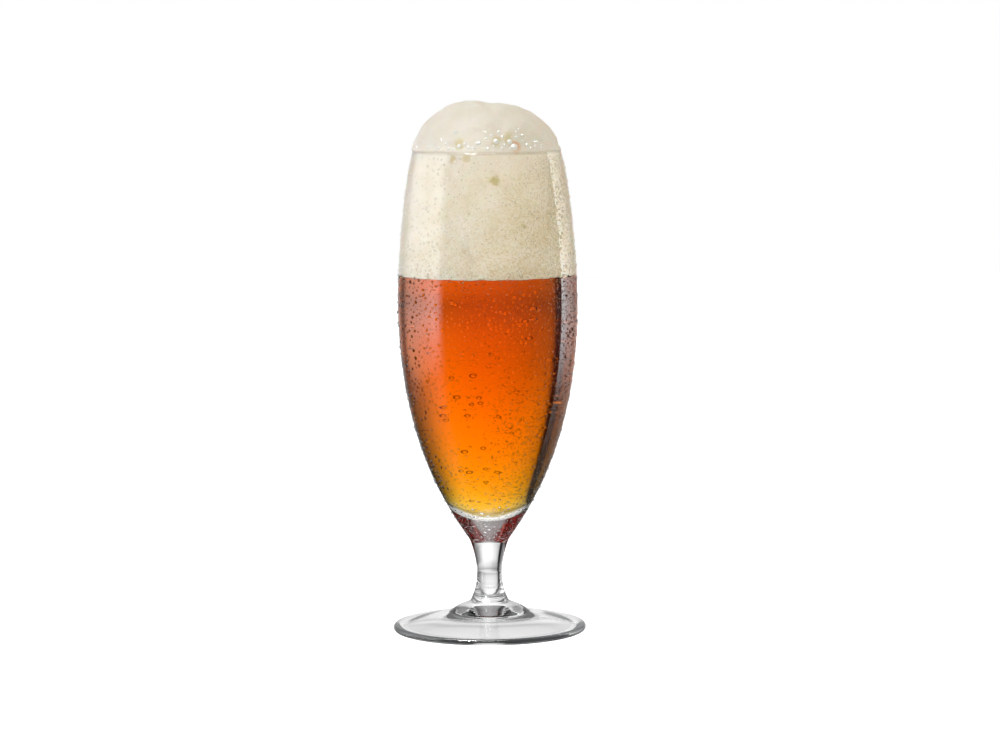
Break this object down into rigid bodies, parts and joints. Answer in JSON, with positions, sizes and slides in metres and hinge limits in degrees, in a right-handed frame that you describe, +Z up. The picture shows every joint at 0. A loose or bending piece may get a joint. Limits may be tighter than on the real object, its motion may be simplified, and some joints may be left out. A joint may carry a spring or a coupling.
{
  "type": "stemmed beer glass",
  "caption": "Tall tulip-shaped beer glass on a short drawn stem and round foot, filled with amber beer under a deep domed head of froth.",
  "frame": {"origin": "middle of the foot, on the surface that the glass stands on", "axes": "+Z up along the stem and bowl, -Y towards the viewer of the picture, +X to the viewer's right"},
  "size_m": [0.081, 0.081, 0.2218],
  "materials": {
    "glass": "clear, fire-polished, with fine condensation on the bowl",
    "beer": "clear amber liquid",
    "froth": "fine cream foam"
  },
  "bodies": {
    "root": {"glass": "glass", "beer": "beer", "froth": "froth"}
  },
  "joints": []
}
